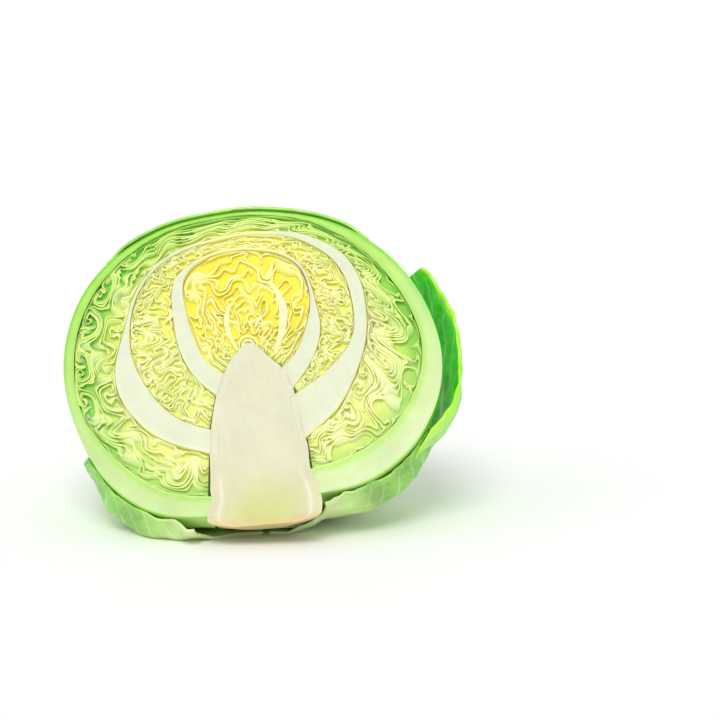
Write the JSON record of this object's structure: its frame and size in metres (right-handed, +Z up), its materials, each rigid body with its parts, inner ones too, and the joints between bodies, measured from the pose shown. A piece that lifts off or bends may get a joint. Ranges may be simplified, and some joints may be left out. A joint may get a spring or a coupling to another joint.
{
  "type": "halved cabbage head",
  "caption": "Round white cabbage head cut in half lengthwise, its cut face leaning back to show the stalk, ribs and folded leaves; green outer leaves behind.",
  "frame": {"origin": "middle of the footprint of the whole half head, at the level of the surface it lies on", "axes": "+X across the cut face to the right, +Y away from the viewer towards the back of the head, +Z up; the cut face looks to -Y and up"},
  "size_m": [0.2002, 0.1456, 0.1525],
  "materials": {
    "stalk": "moist cut flesh, cream",
    "outer_leaf": "waxy leaf, cut midrib pale",
    "wrapper_leaf": "waxy leaf, satin",
    "loose_leaf": "waxy leaf, satin",
    "rib_leaf": "moist cut rib, pale",
    "green_leaves": "moist leaf, satin",
    "middle_leaves": "moist leaf, satin",
    "heart_leaves": "moist leaf, satin"
  },
  "bodies": {
    "root": {"stalk": "stalk", "outer_leaf_left": "outer_leaf", "outer_leaf_right": "outer_leaf", "wrapper_leaf_back": "wrapper_leaf", "wrapper_leaf_left": "wrapper_leaf", "wrapper_leaf_right": "wrapper_leaf", "loose_leaf_right": "loose_leaf", "rib_leaf_heart_left": "rib_leaf", "rib_leaf_heart_right": "rib_leaf", "rib_leaf_middle_left": "rib_leaf", "rib_leaf_middle_right": "rib_leaf", "green_leaves": "green_leaves", "middle_leaves": "middle_leaves", "heart_leaves": "heart_leaves"}
  },
  "joints": []
}
